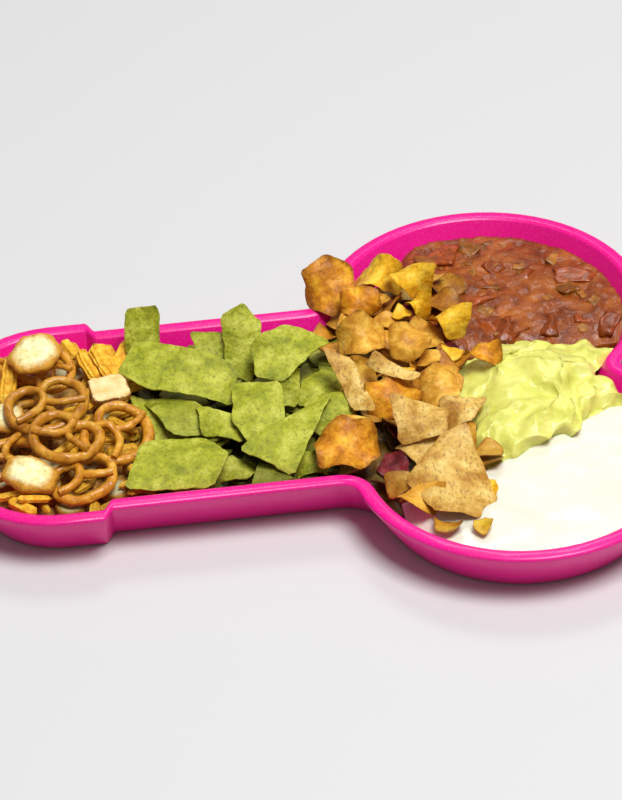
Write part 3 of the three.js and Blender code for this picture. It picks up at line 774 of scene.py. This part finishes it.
def crumb_layer(node, name, lump_size):
    """A lower, rough copy of the plain solid that holds a heap's place."""
    piece = copy_of(node, name)
    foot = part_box(node)[0].z
    apply(piece, "REMESH", mode="VOXEL", voxel_size=0.0022, use_smooth_shade=True)
    for vertex in piece.data.vertices:
        vertex.co.z = foot + crumb_share * (vertex.co.z - foot)
    hold_below(piece, foot + 0.002, foot + 0.008)
    ripple(piece, lump_size, strength=0.007, direction="Z", middle=0.6, hard=True, group="top")
    return piece


snack_crumbs = crumb_layer("snack_mix_bed", "snack_crumbs", 0.005)
crumbled = material("snack_crumbs", 0.7)
crumbled_mottle = ramp(crumbled, grain(crumbled, 0.005, 3), [
    (0.3, (0.16, 0.05, 0.01)), (0.5, (0.42, 0.19, 0.03)), (0.7, (0.70, 0.44, 0.12))])
colour_and_bump(crumbled, crumbled_mottle, (grain(crumbled, 0.003), 0.002))
finish(snack_crumbs, crumbled, "snack_crumbs", "snack_mix_bed")

tortilla_crumbs = crumb_layer("tortilla_bed", "tortilla_crumbs", 0.006)
finish(tortilla_crumbs, masa, "tortilla_chip", "tortilla_bed")
# painted shade on the tortilla crumbs
set_tone_and_shade(tortilla_crumbs, crumb_painted_shade)

root_crumbs = crumb_layer("root_chip_bed", "root_chip_crumbs", 0.006)
finish(root_crumbs, parsnip, "root_crumbs", "root_chip_bed")
# painted shade on the root chip crumbs
set_tone_and_shade(root_crumbs, crumb_painted_shade)

# ---- the small pieces of the snack mix ----
# On the crumbs lie smaller broken pieces, one on another, up to the undersides of the larger ones: here
# bits of bagel chip, small pretzels and short corn sticks. They are laid by a map of heights in cells.
cell = 0.002
tray_low, tray_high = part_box("tray")
columns = np.arange(tray_low.x, tray_high.x, cell)
rows = np.arange(tray_low.y, tray_high.y, cell)
ray_start = 0.2
upward = Vector((0, 0, 1))
out_of_reach = 1.0     # a height that nothing gets to
rim_depth = 0.002
rim_inner = 0.055      # what is as high as the rim and further than this off the axis is the rim itself,
bowl_start = 0.09      # up to this far along. Nothing is laid there
envelope_spread = 5    # in cells
envelope_blur = 8
below_envelope = 0.003
# painted shade: small pieces in the heaps are painted darker the lower they lie
shade_from = 0.015     # small pieces are darkest at this height or below,
shade_fades = 0.022    # and light this much higher


def surface_of(pieces):
    """One tree of all the faces of some pieces, to look for what lies above or below a point."""
    points, faces = [], []
    for piece in pieces:
        first = len(points)
        points += [v.co.copy() for v in piece.data.vertices]
        faces += [[first + i for i in face.vertices] for face in piece.data.polygons]
    return BVHTree.FromPolygons(points, faces)


larger = surface_of([o for o in bpy.data.objects if o.name.endswith(("_crisp", "_slice", "_baked"))])
under = surface_of([tray, cream, salsa, guacamole, snack_crumbs, tortilla_crumbs, root_crumbs])
base = np.full((len(columns), len(rows)), out_of_reach)
roof = np.zeros_like(base)
tops = np.zeros_like(base)
for i, x in enumerate(columns):
    for j, y in enumerate(rows):
        hit = under.ray_cast(Vector((x, y, ray_start)), down)[0]
        if hit is None:
            continue
        if hit.z > tray_high.z - rim_depth and abs(y) > rim_inner and hit.x <= bowl_start:
            continue
        base[i, j] = hit.z
        lowest = larger.ray_cast(Vector((x, y, hit.z)), upward)[0]
        roof[i, j] = lowest.z if lowest else out_of_reach
        highest = larger.ray_cast(Vector((x, y, ray_start)), down)[0]
        tops[i, j] = highest.z if highest else 0.0


def over_neighbours(heights, combine):
    """Each cell's height, combined with those of the eight cells around it."""
    padded = np.pad(heights, 1, mode="edge")
    return combine([padded[1 + i:1 + i + len(columns), 1 + j:1 + j + len(rows)]
                    for i in (-1, 0, 1) for j in (-1, 0, 1)], axis=0)


envelope = tops
for spread in range(envelope_spread):
    envelope = over_neighbours(envelope, np.max)
for blur in range(envelope_blur):
    envelope = over_neighbours(envelope, np.mean)


def settle(templates, count, region, size_range, most_tilt, least_top, tries=30):
    """Lays up to count copies of the templates in a region, each at the lowest of the places it tries
    that has room: under the larger pieces, and within the envelope of their tops or least_top."""
    (x_low, x_high), (y_low, y_high) = region
    limit = np.minimum(np.maximum(envelope - below_envelope, least_top), roof)
    made = []
    for n in range(count):
        best = None
        for attempt in range(tries):
            template, points = templates[chance.integers(len(templates))]
            turn = (Matrix.Rotation(chance.uniform(0, full_turn), 3, "Z")
                    @ Matrix.Rotation(chance.uniform(-most_tilt, most_tilt), 3, "X")
                    @ Matrix.Rotation(chance.uniform(0, full_turn), 3, "Z"))
            turn = turn @ Matrix.Scale(chance.uniform(*size_range), 3)
            lying = points @ np.array(turn).T
            x, y = chance.uniform(x_low, x_high), chance.uniform(y_low, y_high)
            i = ((lying[:, 0] + x - columns[0]) / cell).round().astype(int)
            j = ((lying[:, 1] + y - rows[0]) / cell).round().astype(int)
            if i.min() < 0 or j.min() < 0 or i.max() >= len(columns) or j.max() >= len(rows):
                continue
            z = (base[i, j] - lying[:, 2]).max()
            if (lying[:, 2] + z > limit[i, j]).any():
                continue
            if best is None or z < best[0]:
                best = (z, x, y, turn, template, lying, i, j)
        if best is None:
            continue
        z, x, y, turn, template, lying, i, j = best
        np.maximum.at(base, (i, j), lying[:, 2] + z)
        # painted shade: the lower a small piece lies, the darker it is painted, times its own random tone
        shade = share_past(z, shade_from, shade_fades) * chance.uniform(0.7, 1)
        made.append(copied(template, Matrix.Translation((x, y, z)) @ turn.to_4x4(), shade))
    return made


def lay(name, made, slot, templates, **places):
    """Settles one kind of piece, joins what was laid and removes the templates."""
    shapes = [(template, np.array([v.co for v in template.data.vertices])) for template in templates]
    pieces = settle(shapes, **places)
    for template in templates:
        bpy.data.objects.remove(template)
    if pieces:
        finish(joined(pieces, name), made, slot)


def broken_slice(name, corners, size, thickness, bow, rounded):
    """A flat broken piece with a few corners, bowed, as a template."""
    bpy.ops.mesh.primitive_cylinder_add(
        vertices=corners, radius=size / 2, depth=thickness, end_fill_type="TRIFAN")
    piece = bpy.context.object
    piece.name = name
    corner_reach = chance.uniform(0.62, 1.15, corners)
    for vertex in piece.data.vertices:
        if vertex.co.xy.length > weld:
            corner = round(math.atan2(vertex.co.x, vertex.co.y) / (2 * math.pi) * corners) % corners
            vertex.co.xy = vertex.co.xy * corner_reach[corner]
    apply(piece, "SUBSURF", levels=2, render_levels=2, subdivision_type="SIMPLE")
    apply(piece, "SMOOTH", factor=0.5, iterations=4 if rounded else 1, use_z=False)
    curl_up(piece, size / 2, 0.2 * bow, bow, 0.3 * bow)
    ripple(piece, lump_size=0.5 * size, strength=0.06 * size, direction="RGB_TO_XYZ")
    edge_share(piece)
    bpy.ops.object.shade_smooth_by_angle(angle=math.radians(45))
    return piece


channel_half = 0.081
mix_region = ((-0.206, -0.092), (-channel_half, channel_half))
mix_least = 0.037
bagel_templates = [broken_slice("bagel_bit", 9, 0.026, 0.006, 0.001, True) for n in range(3)]
lay("bagel_chip_bits", bread, "bagel_chip", bagel_templates,
    count=18, region=mix_region, size_range=(0.7, 1.05), most_tilt=0.3, least_top=mix_least)
pretzel_templates = [pretzel(0.040, 0.031, 1), pretzel(0.034, 0.028, 1)]
lay("small_pretzels", dough, "pretzel", pretzel_templates,
    count=14, region=mix_region, size_range=(0.9, 1.05), most_tilt=0.35, least_top=mix_least)
stick_templates = [ridged_stick(0.026, 0.006, 0.005, 5), ridged_stick(0.020, 0.008, 0.006, 5)]
lay("small_corn_sticks", cheese, "corn_stick", stick_templates,
    count=60, region=mix_region, size_range=(0.7, 1.1), most_tilt=0.35, least_top=mix_least)

# ---- the small tortilla chips ----
# Broken bits of the same green corn sheet as the larger chips, with three to five corners each. They
# lie nearly flat on each other and fill the channel.
tortilla_region = ((-0.098, 0.022), (-channel_half, channel_half))
masa_templates = [broken_slice("tortilla_bit", corners, 0.034, 0.0022, 0.002, False)
                  for corners in (3, 4, 5, 4)]
lay("tortilla_bits", masa, "tortilla_chip", masa_templates,
    count=120, region=tortilla_region, size_range=(0.55, 1.15), most_tilt=0.4, least_top=0.031)

# ---- the small root vegetable and corn chips ----
# Smaller slices of each kind, fried until they bow. They lie at all angles, in a loose heap that fills
# the channel's mouth.
root_region = ((0.012, 0.098), (-0.125, 0.110))
root_bits = [          # kind, how many at most, size
    ("taro_chip", 16, 0.032), ("beet_chip", 8, 0.028), ("sweet_potato_chip", 22, 0.032),
    ("parsnip_chip", 44, 0.032), ("corn_chip", 16, 0.026),
]
for kind, count, size in root_bits:
    slices = [broken_slice(kind + "_bit", corners, size, 0.0016, 0.006, kind != "taro_chip")
              for corners in (5, 6, 7)]
    lay(kind + "_bits", root_kinds[kind][0], kind, slices,
        count=count, region=root_region, size_range=(0.6, 1.15), most_tilt=0.75, least_top=0.035)
